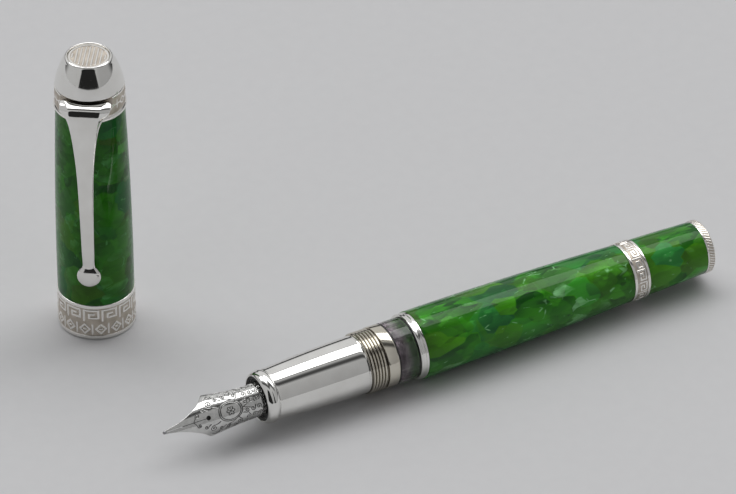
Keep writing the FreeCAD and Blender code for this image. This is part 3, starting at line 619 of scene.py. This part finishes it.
def nib_shape(station):
    """Arc radius, top height and half angle of the nib's sheet at each station."""
    values = []
    for column in (1, 2, 3):
        front, back = (spline(held, [r[0] for r in table], [r[column] for r in table]) for held, table in (
            (np.minimum(station, NIB_SHOULDER), NIB_FRONT), (np.maximum(station, NIB_SHOULDER), NIB_BACK)))
        values.append(np.where(station < NIB_SHOULDER, front, back))
    return values[0], values[1], np.radians(values[2])


def scroll(at, across, radius, turns, start, hand, tail):
    """A spiral in the nib's developed plane, with a tail that sweeps away from it."""
    t = np.linspace(0, 1, 90)
    swing = start + hand * turns * TAU * t
    size = radius * (0.12 + 0.88 * t)
    spiral = np.stack([at + size * np.cos(swing), across + size * np.sin(swing)], 1)
    heading = swing[-1] + hand * math.pi / 2
    ahead = np.linspace(0, tail, 40)[:, None]
    turn = heading - hand * 0.35 * ahead / tail
    return np.concatenate([spiral, spiral[-1] + ahead * np.concatenate([np.cos(turn), np.sin(turn)], 1)])


def oval(at, across, along, wide):
    t = np.linspace(0, TAU, 200)
    return np.stack([at + along * np.cos(t), across + wide * np.sin(t)], 1)


def engraving():
    """Every engraved line of the nib: a generic ornament, mirrored left and right."""
    lines = [oval(13.7, 0, 2.45, 2.05), oval(13.7, 0, 2.12, 1.74)]
    petals = np.linspace(0, TAU, 240)
    reach = 0.42 + 0.42 * np.abs(np.cos(petals * 3))
    lines.append(np.stack([13.7 + reach * np.cos(petals), reach * np.sin(petals)], 1))
    lines.append(oval(13.7, 0, 0.16, 0.16))
    for side in (-1, 1):
        lines += [scroll(6.9, side * 0.95, 0.42, 1.4, 0.4 * side, side, 1.1),
                  scroll(8.3, side * 1.75, 0.40, 1.3, 2.4 * side, -side, 0.8),
                  scroll(9.9, side * 2.55, 0.72, 1.6, 1.0 * side, side, 1.4),
                  scroll(11.5, side * 2.95, 0.42, 1.4, 3.0 * side, -side, 0.8),
                  scroll(10.8, side * 4.3, 0.50, 1.4, 0.0, side, 1.0),
                  scroll(13.2, side * 3.1, 0.50, 1.5, 1.5 * side, side, 1.6),
                  scroll(15.4, side * 2.75, 0.55, 1.5, 2.2 * side, -side, 1.2),
                  scroll(14.6, side * 4.45, 0.42, 1.4, 0.5 * side, -side, 1.2)]
        run = np.linspace(10.4, 21.5, 160)
        curve, _, half = nib_shape(run)
        edge = side * curve * half
        lines.append(np.stack([run, edge - side * 0.42], 1))
        wave = np.linspace(11.2, 20.6, 300)
        curve, _, half = nib_shape(wave)
        lines.append(np.stack([wave, side * (curve * half - 0.85 + 0.16 * np.sin(wave * 4.2))], 1))
        lines.append(np.stack([np.linspace(16.3, 17.9, 40), side * np.linspace(0.0, 0.55, 40)], 1))
        for k, at in enumerate((17.0, 18.35, 19.65)):
            for j, across in enumerate((0.85, 2.35, 3.85)):
                lines.append(scroll(at + 0.3 * (j % 2), side * across, 0.52, 1.35, (2.1 * k + 1.3 * j) * side,
                                    side * (-1) ** (k + j), 0.5))
        for k in range(4):
            lines.append(scroll(11.3 + 1.5 * k, side * (3.75 - 0.1 * k), 0.48, 1.35, 1.9 * k * side,
                                side * (-1) ** k, 0.8))
    for k in range(9):
        lines.append(oval(20.75, -4.0 + k, 0.22, 0.32))
    return lines


def build_nib():
    fine_end = 21.3    # where the engraving is hidden in the section
    rows = np.concatenate([np.linspace(NIB_POINT, fine_end, 490), np.linspace(fine_end, NIB_TAIL, 24)[1:]])
    curve, top, half = nib_shape(rows)
    side = np.linspace(0, 1, 140)
    width = curve * half
    across = SLIT_HALF + (width[:, None] - SLIT_HALF) * side[None]
    across = np.concatenate([-across[:, ::-1], across], 1)
    count = across.shape[1]
    station = np.repeat(rows[:, None], count, 1)
    tree_points = np.concatenate(engraving())
    lookup = kdtree.KDTree(len(tree_points))
    for i, p in enumerate(tree_points):
        lookup.insert((p[0], p[1], 0), i)
    lookup.balance()
    near = np.full(station.shape, 9.0)
    visible = station < 21.4
    near[visible] = [lookup.find((s, w, 0))[2] for s, w in zip(station[visible], across[visible])]
    to_edge = width[:, None] - np.abs(across)
    # Painted reflection: a dark line along both edges of the sheet from about station 10 on, darkened through the
    # cut mark.
    painted_dark_edge = (1 - smoothstep(0.10, 0.24, to_edge)) * smoothstep(9.2, 10.2, station)
    cut = np.maximum(1 - smoothstep(0.045, 0.105, near), 0.9 * painted_dark_edge)
    rim = 1 - np.sqrt(np.clip(1 - (1 - np.clip(to_edge / 0.13, 0, 1)) ** 2, 0, 1))
    at_hole = np.hypot(station - HOLE_AT, across)
    # the grid's edge is moved onto the hole's circle
    pull = (at_hole > HOLE_RADIUS - 0.03) & (at_hole < HOLE_RADIUS + 0.045)
    scale = np.where(pull, HOLE_RADIUS / np.maximum(at_hole, 1e-6), 1)
    station = HOLE_AT + (station - HOLE_AT) * scale
    across = across * scale
    radius = curve[:, None] + np.zeros_like(across)
    centre = (top - curve)[:, None]
    angle = across / radius

    def skin(depth):
        rr = radius - depth
        return np.stack([station, rr * np.sin(angle), centre + rr * np.cos(angle)], -1).reshape(-1, 3)

    outer = skin(0.05 * cut + 0.10 * rim)
    inner = skin(np.full_like(across, SHEET) - 0.06 * rim)
    r, c = np.meshgrid(np.arange(len(rows) - 1), np.arange(count - 1), indexing="ij")
    quads = np.stack([r * count + c, (r + 1) * count + c, (r + 1) * count + c + 1, r * count + c + 1], -1)
    quads = quads.reshape(-1, 4)
    mid_station, mid_across = (values.reshape(-1)[quads].mean(1) for values in (station, across))
    in_slit = (np.abs(mid_across) < SLIT_HALF * 0.9) & (mid_station < HOLE_AT)
    in_hole = np.hypot(mid_station - HOLE_AT, mid_across) < HOLE_RADIUS - 0.002
    quads = quads[~(in_slit | in_hole)]
    edges = np.concatenate([quads[:, [i, (i + 1) % 4]] for i in range(4)])
    key = np.sort(edges, 1)
    _, first, times = np.unique(key[:, 0] * 10 ** 7 + key[:, 1], return_index=True, return_counts=True)
    border = edges[first[times == 1]]
    offset = len(outer)
    walls = np.stack([border[:, 1], border[:, 0], border[:, 0] + offset, border[:, 1] + offset], 1)
    faces = np.concatenate([quads, quads[:, ::-1] + offset, walls])
    used, packed = np.unique(faces, return_inverse=True)
    points = np.concatenate([outer, inner])[used]
    marks = np.concatenate([cut.reshape(-1), np.zeros(offset)])[used]
    piece("engraved_nib", on_pen(rolled(points)), packed.reshape(-1, 4), "pen", ["nib"], NIB_METAL,
          {"cut": marks})


build_nib()


def build_tipping():
    """Two half pebbles of hard alloy, ground flat underneath, either side of the slit."""
    points, faces = [], []
    lat, lon = 25, 33
    for side in (-1, 1):
        start = len(points)
        for i in range(lat):
            a = math.pi * i / (lat - 1)
            for j in range(lon):
                b = math.pi * j / (lon - 1)
                along = -math.cos(a)
                out = math.sin(a) * math.sin(b)
                up = math.sin(a) * math.cos(b)
                up = max(up, -0.78)
                points.append((0.40 - POINT_REACH + 0.39 * along, side * (0.025 + 0.33 * out), 2.38 + 0.37 * up))
        for i in range(lat - 1):
            for j in range(lon - 1):
                q = [start + i * lon + j, start + (i + 1) * lon + j, start + (i + 1) * lon + j + 1,
                     start + i * lon + j + 1]
                faces.append(q if side < 0 else q[::-1])
        for i in range(lat - 1):
            q = [start + i * lon, start + i * lon + lon - 1, start + (i + 1) * lon + lon - 1,
                 start + (i + 1) * lon]
            faces.append(q if side < 0 else q[::-1])
    piece("nib_tipping_pebble", on_pen(rolled(points)), faces, "pen", ["nib_tipping"], TIPPING,
          weld=True)


build_tipping()

# ---- cap -----------------------------------------------------------------------------------------

CAP_BAND_TOP, CAP_BAND_RIM = 8.25, 0.75
ROW_LOW, ROW_HIGH = (1.35, 3.75), (4.55, 7.05)


def cap_band_pattern(station, radius, angle):
    skin = (radius > 7.55) & (station > 1.0) & (station < CAP_BAND_TOP - CAP_BAND_RIM)
    lower = frieze(angle, station, *ROW_LOW, 15, LOZENGE, 0.36, 7.66)
    upper = frieze(angle, station, *ROW_HIGH, 13, FRET, 0.40, 7.66)
    raised = np.maximum(lower, upper)
    return skin * raised * 0.085, np.where(skin, raised, 1.0)


lathe("cap_pattern_band", [
    (0.0, 6.42, 0.05), (0.0, 7.52, 0.2), (0.28, 7.74, 0.14), (0.95, 7.74, 0.1), (1.05, 7.655, 0.04),
    *dense((1.16, 7.655), (7.34, 7.655), 150), (7.45, 7.655, 0.04), (7.52, 7.74, 0.1), (8.25, 7.74, 0.14),
    (8.25, 7.06), (0.62, 7.06), (0.62, 6.42)],
    on_cap, "cap", ["cap_lip_band"], FROST_CAP, segments=1200, relief=cap_band_pattern)
lathe("cap_resin_tube", [
    (0.62, 6.86), (0.62, 7.04), (8.2, 7.04), (8.26, 7.58, 0.05), *bow((8.26, 7.58), (51.44, 6.77), 930, 60),
    (51.44, 6.77, 0.06), (51.44, 5.75), (36.0, 5.75), (36.0, 6.35), (13.0, 6.35), (13.0, 6.86)],
    on_cap, "cap", ["cap_tube"], GREEN_CAP)


def ring_pattern(station, radius, angle):
    skin = (radius > 6.75) & (station > 52.45) & (station < 56.0)
    leaf = frieze(angle, station, *LEAF_ROW, 12, LEAF, 0.26, 6.88)
    return skin * leaf * 0.05, np.where(skin, leaf, 1.0)


def clip_window(made):
    """The slot in the ring that the clip comes out of."""
    mesh = bpy.data.meshes.new("slot_tool")
    points = [(out, across, up) for out in (4.6, 9.9) for across in (-5.35, 5.35) for up in (54.70, 57.3)]
    mesh.from_pydata([tuple(p) for p in on_cap(facing_clip(points))], [],
                     [(0, 1, 3, 2), (4, 6, 7, 5), (0, 4, 5, 1), (2, 3, 7, 6), (0, 2, 6, 4), (1, 5, 7, 3)])
    tool = bpy.data.objects.new("slot_tool", mesh)
    bpy.context.scene.collection.objects.link(tool)
    cutter = made.modifiers.new("slot", "BOOLEAN")
    cutter.object, cutter.operation, cutter.solver = tool, "DIFFERENCE", "EXACT"
    bpy.context.view_layer.update()
    done = bpy.data.meshes.new_from_object(made.evaluated_get(bpy.context.evaluated_depsgraph_get()))
    made.modifiers.clear()
    made.data = done
    bpy.data.objects.remove(tool)


clip_window(lathe("clip_ring_shell", [
    (51.44, 4.14), (51.44, 6.98, 0.12), *bow((51.44, 6.98), (52.20, 6.98), 0.55, 8), (52.20, 6.98, 0),
    (52.35, 6.86, 0.03), *dense((52.5, 6.86), (56.1, 6.83), 80), (56.28, 6.81, 0.08), (56.28, 4.14)],
    on_cap, "cap", ["clip_ring"], FROST_CAP, segments=800, relief=ring_pattern))
lathe("finial_dome_shell", [
    (56.44, 4.18), (56.44, 6.78, 0.10), *bow((56.44, 6.78), (62.15, 4.78), 16, 40), (62.15, 4.78, 0),
    (62.42, 4.66, 0), (62.60, 4.50, 0), (62.685, 4.32, 0.05), (62.66, 4.20, 0.04), (62.30, 4.12, 0.03),
    (62.12, 4.11), (62.12, 0.0), (59.9, 0.0), (59.9, 1.03), (57.46, 1.03), (57.46, 4.18)],
    on_cap, "cap", ["finial_dome"], SILVER_CAP)


def medallion(station, radius, angle):
    """Evenly spaced plain ribs, each the full width of the face, inside a raised rim."""
    face = station > 62.28
    x, y = radius * np.cos(angle - CLIP_BEARING), radius * np.sin(angle - CLIP_BEARING)
    pitch = 0.80
    k = np.round(y / pitch)
    rib = 1 - smoothstep(0.10, 0.24, np.abs(y - k * pitch))
    reach = np.sqrt(np.clip(3.3 ** 2 - (k * pitch) ** 2, 0, None))
    rib = rib * (1 - smoothstep(reach - 0.12, reach + 0.06, np.abs(x)))
    rim = smoothstep(3.50, 3.60, radius) * (1 - smoothstep(3.92, 4.02, radius))
    raised = np.maximum(rib, rim)
    return face * 0.13 * raised, np.where(face, raised, 1.0)


lathe("finial_medallion", [
    (62.12, 0.0), (62.12, 4.02, 0.02), (62.30, 4.02, 0.02), *dense((62.34, 3.99), (62.34, 0.0), 150)],
    on_cap, "cap", ["finial_badge"], FROST_CAP, segments=720, relief=medallion)

# ---- clip ----------------------------------------------------------------------------------------


def build_clip():
    """A bent and bowed blade with swept-back shoulders and a round ball end, as one loft.
    Each station gives out, up, the lean of its outward normal above the horizon, half face, half edge, edge
    depth and edge thickness."""
    stations = [
        (4.90, 55.98, 90, 4.6, 5.05, 0.10, 0.85),
        (6.60, 56.00, 90, 4.0, 5.05, 0.30, 0.80),
        (7.60, 55.97, 82, 3.45, 4.95, 0.75, 0.75),
        (8.35, 55.75, 68, 3.20, 4.75, 1.15, 0.72),
        (8.90, 55.25, 48, 3.08, 4.45, 1.30, 0.72),
        (9.22, 54.55, 30, 2.95, 4.05, 1.20, 0.74),
        (9.42, 53.70, 21, 2.82, 3.55, 0.95, 0.80),
        (9.58, 52.70, 16, 2.66, 3.12, 0.68, 0.85),
        (9.70, 51.50, 11, 2.50, 2.80, 0.45, 0.88),
        (9.79, 50.00, 7, 2.30, 2.52, 0.28, 0.90),
        (9.86, 48.00, 3.5, 2.05, 2.22, 0.20, 0.92),
        (9.90, 45.00, 0.5, 1.76, 1.92, 0.18, 0.92),
        (9.90, 41.20, -1, 1.48, 1.63, 0.18, 0.92),
        (9.84, 36.00, -1.2, 1.32, 1.47, 0.18, 0.92),
        (9.73, 30.00, -1.6, 1.19, 1.33, 0.18, 0.92),
        (9.58, 24.50, -1.8, 1.11, 1.25, 0.18, 0.92),
        (9.46, 20.60, -2.0, 1.06, 1.20, 0.18, 0.90)]
    ball_at, ball_radius, ball_out, ball_depth = 16.45, 2.40, 8.98, 1.0
    neck_out, neck_depth = 8.84, 0.56
    ring_points = []
    for out, up, lean, face, edge, edge_depth, thick in stations:
        nx, nz = math.cos(math.radians(lean)), math.sin(math.radians(lean))
        section = [(0, 0), (face * 0.5, 0), (face - 0.10, 0.0), (face, 0.04),
                   ((face + edge) / 2, edge_depth * 0.5), (edge, edge_depth),
                   (edge - 0.02, edge_depth + thick * 0.5), (edge - 0.16, edge_depth + thick),
                   ((face + edge) / 2 - 0.35, edge_depth * 0.5 + 1.02), (face * 0.62, 1.12), (0, 1.14)]
        loop = section + [(-a, d) for a, d in section[-2:0:-1]]
        ring_points.append([(out - d * nx, a, up - d * nz) for a, d in loop])
    count = len(ring_points[0])
    # the ball: ellipse sections whose points follow the same order round the blade
    turns = [math.radians(k) for k in (90, 62, 40, 26, 12, 0, -12, -26, -45, -66, -90)]
    turns = turns + [math.pi - t for t in turns[-2:0:-1]]
    for up in (19.35, 18.75, 18.25, 17.6, 16.9, 16.2, 15.5, 14.9, 14.45, 14.18, 14.07):
        reach = max(ball_radius ** 2 - (up - ball_at) ** 2, 0.01) ** 0.5
        neck = 1.12 + 0.10 * smoothstep(18.0, 20.5, up)
        half = reach
        if up > ball_at:
            half = (reach ** 4 + neck ** 4) ** 0.25 if reach > 0.2 else neck
        swell = (max(1 - ((up - ball_at) / (ball_radius * 1.02)) ** 2, 0.0)) ** 0.5
        blend = float(smoothstep(17.2, 19.8, up))
        deep = ball_depth * swell * (1 - blend) + neck_depth * blend
        centre = ball_out * (1 - blend) + neck_out * blend
        deep = max(deep, 0.06)
        ring_points.append([(centre + deep * math.sin(t), half * math.cos(t), up) for t in turns])
    points = np.array(ring_points).reshape(-1, 3)
    faces = []
    for i in range(len(ring_points) - 1):
        for j in range(count):
            a, b = i * count + j, i * count + (j + 1) % count
            faces.append((a, b, b + count, a + count))
    made = piece("cap_clip_blade", on_cap(facing_clip(points)), faces, "clip", ["clip"], SILVER_CAP)
    work = bmesh.new()
    work.from_mesh(made.data)
    bmesh.ops.holes_fill(work, edges=[e for e in work.edges if e.is_boundary], sides=0)
    bmesh.ops.recalc_face_normals(work, faces=work.faces)
    crease = work.edges.layers.float.new("crease_edge")
    work.verts.ensure_lookup_table()
    sharp_columns = {3: 0.55, count - 3: 0.55, 5: 0.35, count - 5: 0.35, 7: 0.3, count - 7: 0.3}
    for edge in work.edges:
        a, b = edge.verts[0].index, edge.verts[1].index
        if abs(a - b) == count and min(a, b) < (len(stations) - 1) * count and a % count in sharp_columns:
            edge[crease] = sharp_columns[a % count]
    work.to_mesh(made.data)
    work.free()
    for face in made.data.polygons:
        face.use_smooth = True
    smooth = made.modifiers.new("smooth", "SUBSURF")
    smooth.levels = smooth.render_levels = 3


build_clip()

# ---- floor, light and camera ---------------------------------------------------------------------

FORWARD = Vector((0.3997, 0.7019, -0.5896)).normalized()
FRONT = Vector((-FORWARD.x, -FORWARD.y, 0)).normalized()
SIDE = Vector((-FRONT.y, FRONT.x, 0))


def floor_card():
    """Pale paper with a faint mottle."""
    m = Shade("floor_card", Roughness=0.62, Specular_IOR_Level=0.3)
    paper = m.noise(m.place(), 0.35, 5.0)
    tone = m.mix(m.range(paper, 0.0, 1.0, 0.3, 0.7), (0.570, 0.570, 0.577), (0.582, 0.582, 0.588))
    return m.finish(Base_Color=tone, Normal=m.bump(paper, 0.05, 0.02))


floor_mesh = bpy.data.meshes.new("floor")
REACH = 12.0
floor_mesh.from_pydata([(-REACH, -REACH, 0), (REACH, -REACH, 0), (REACH, REACH, 0), (-REACH, REACH, 0)], [],
                       [(0, 1, 2, 3)])
floor_mesh.materials.append(floor_card())
floor = bpy.data.objects.new("floor", floor_mesh)
floor.location.z = -0.00002
bpy.context.scene.collection.objects.link(floor)

AIM = Vector((7.80, 16.82, 0.0)) * MM
DISTANCE = 1.212
camera_data = bpy.data.cameras.new("camera")
camera_data.lens, camera_data.sensor_width = 294.5, 36.0
camera_data.clip_start, camera_data.clip_end = 0.05, 60.0
camera = bpy.data.objects.new("camera", camera_data)
camera.location = AIM - FORWARD * DISTANCE
camera.rotation_euler = FORWARD.to_track_quat("-Z", "Y").to_euler()
bpy.context.scene.collection.objects.link(camera)
bpy.context.scene.camera = camera


def studio():
    """A light tent as a sky: a softbox overhead with a dark frame and strip, grey walls, a dark opening in
    front and a dark low wall behind."""
    world = bpy.data.worlds.new("studio")
    bpy.context.scene.world = world
    world.use_nodes = True
    m = Shade.__new__(Shade)
    m.tree = world.node_tree
    m.tree.nodes.clear()
    way = m.add("TexCoord").outputs["Generated"]
    ahead = m.vector("DOT_PRODUCT", way, tuple(FRONT))
    aside = m.vector("DOT_PRODUCT", way, tuple(SIDE))
    up = m.vector("DOT_PRODUCT", way, (0.0, 0.0, 1.0))

    def above(value, edge, soft):
        """1 where value is over edge, with a soft rim."""
        return m.add("MapRange", {"Value": value, "From Min": edge - soft, "From Max": edge + soft, "To Min": 0.0,
                                  "To Max": 1.0}, interpolation_type="SMOOTHSTEP").outputs[0]

    def both(*masks):
        whole = masks[0]
        for mask in masks[1:]:
            whole = m.math("MULTIPLY", whole, mask)
        return whole

    def lay(under, mask, value):
        """The value laid over what is under it, where the mask is 1."""
        kept = m.math("MULTIPLY", under, m.math("SUBTRACT", 1.0, mask))
        return m.math("ADD", kept, m.math("MULTIPLY", mask, value))

    wall = m.range(up, 0.46, 0.50, 0.0, 0.8)
    wall = m.math("SUBTRACT", wall, m.math("MULTIPLY", above(aside, 0.50, 0.25), 0.12))
    behind, down = m.math("MULTIPLY", ahead, -1.0), m.math("MULTIPLY", up, -1.0)
    wall = m.math("ADD", wall, m.math("MULTIPLY", above(behind, 0.30, 0.20), 0.22))
    rear = both(above(behind, 0.15, 0.25), above(down, -0.20, 0.10))
    sky = lay(wall, rear, 0.03)
    safe_ahead = m.math("MAXIMUM", ahead, 0.02)
    x = m.math("ABSOLUTE", m.math("DIVIDE", aside, safe_ahead))
    y = m.math("DIVIDE", up, safe_ahead)
    width = m.math("SUBTRACT", 0.67, m.math("MULTIPLY", y, 0.24))
    opening = both(above(m.math("SUBTRACT", width, x), 0.0, 0.02), above(m.math("MULTIPLY", y, -1.0), -1.43, 0.05),
                   above(ahead, 0.05, 0.02))
    sky = lay(sky, opening, 0.018)
    safe_up = m.math("MAXIMUM", up, 0.02)
    across = m.math("ABSOLUTE", m.math("ADD", m.math("DIVIDE", aside, safe_up), -0.05))
    depth = m.math("DIVIDE", ahead, safe_up)
    overhead = above(up, 0.1, 0.02)

    def card(centre, half, half_across, soft):
        """An overhead rectangle, given by its tangents fore and aft and across."""
        off = m.math("ABSOLUTE", m.math("SUBTRACT", depth, centre))
        return both(above(m.math("MULTIPLY", across, -1.0), -half_across, 0.03),
                    above(m.math("MULTIPLY", off, -1.0), -half, soft), overhead)

    sky = lay(sky, card(0.18, 0.14, 1.3, 0.10), 0.06)
    sky = lay(sky, card(-0.43, 0.36, 1.10, 0.03), 0.12)
    sky = lay(sky, card(-0.43, 0.30, 1.02, 0.03), 3.2)
    tone = m.add("CombineColor", {"Red": sky, "Green": sky, "Blue": m.math("MULTIPLY", sky, 1.005)}).outputs[0]
    glow = m.add("Background", {"Color": tone, "Strength": 1.0})
    out = m.add("OutputWorld")
    m.tree.links.new(glow.outputs[0], out.inputs["Surface"])


studio()
scene = bpy.context.scene
scene.view_settings.view_transform = "Standard"
scene.view_settings.look = "None"
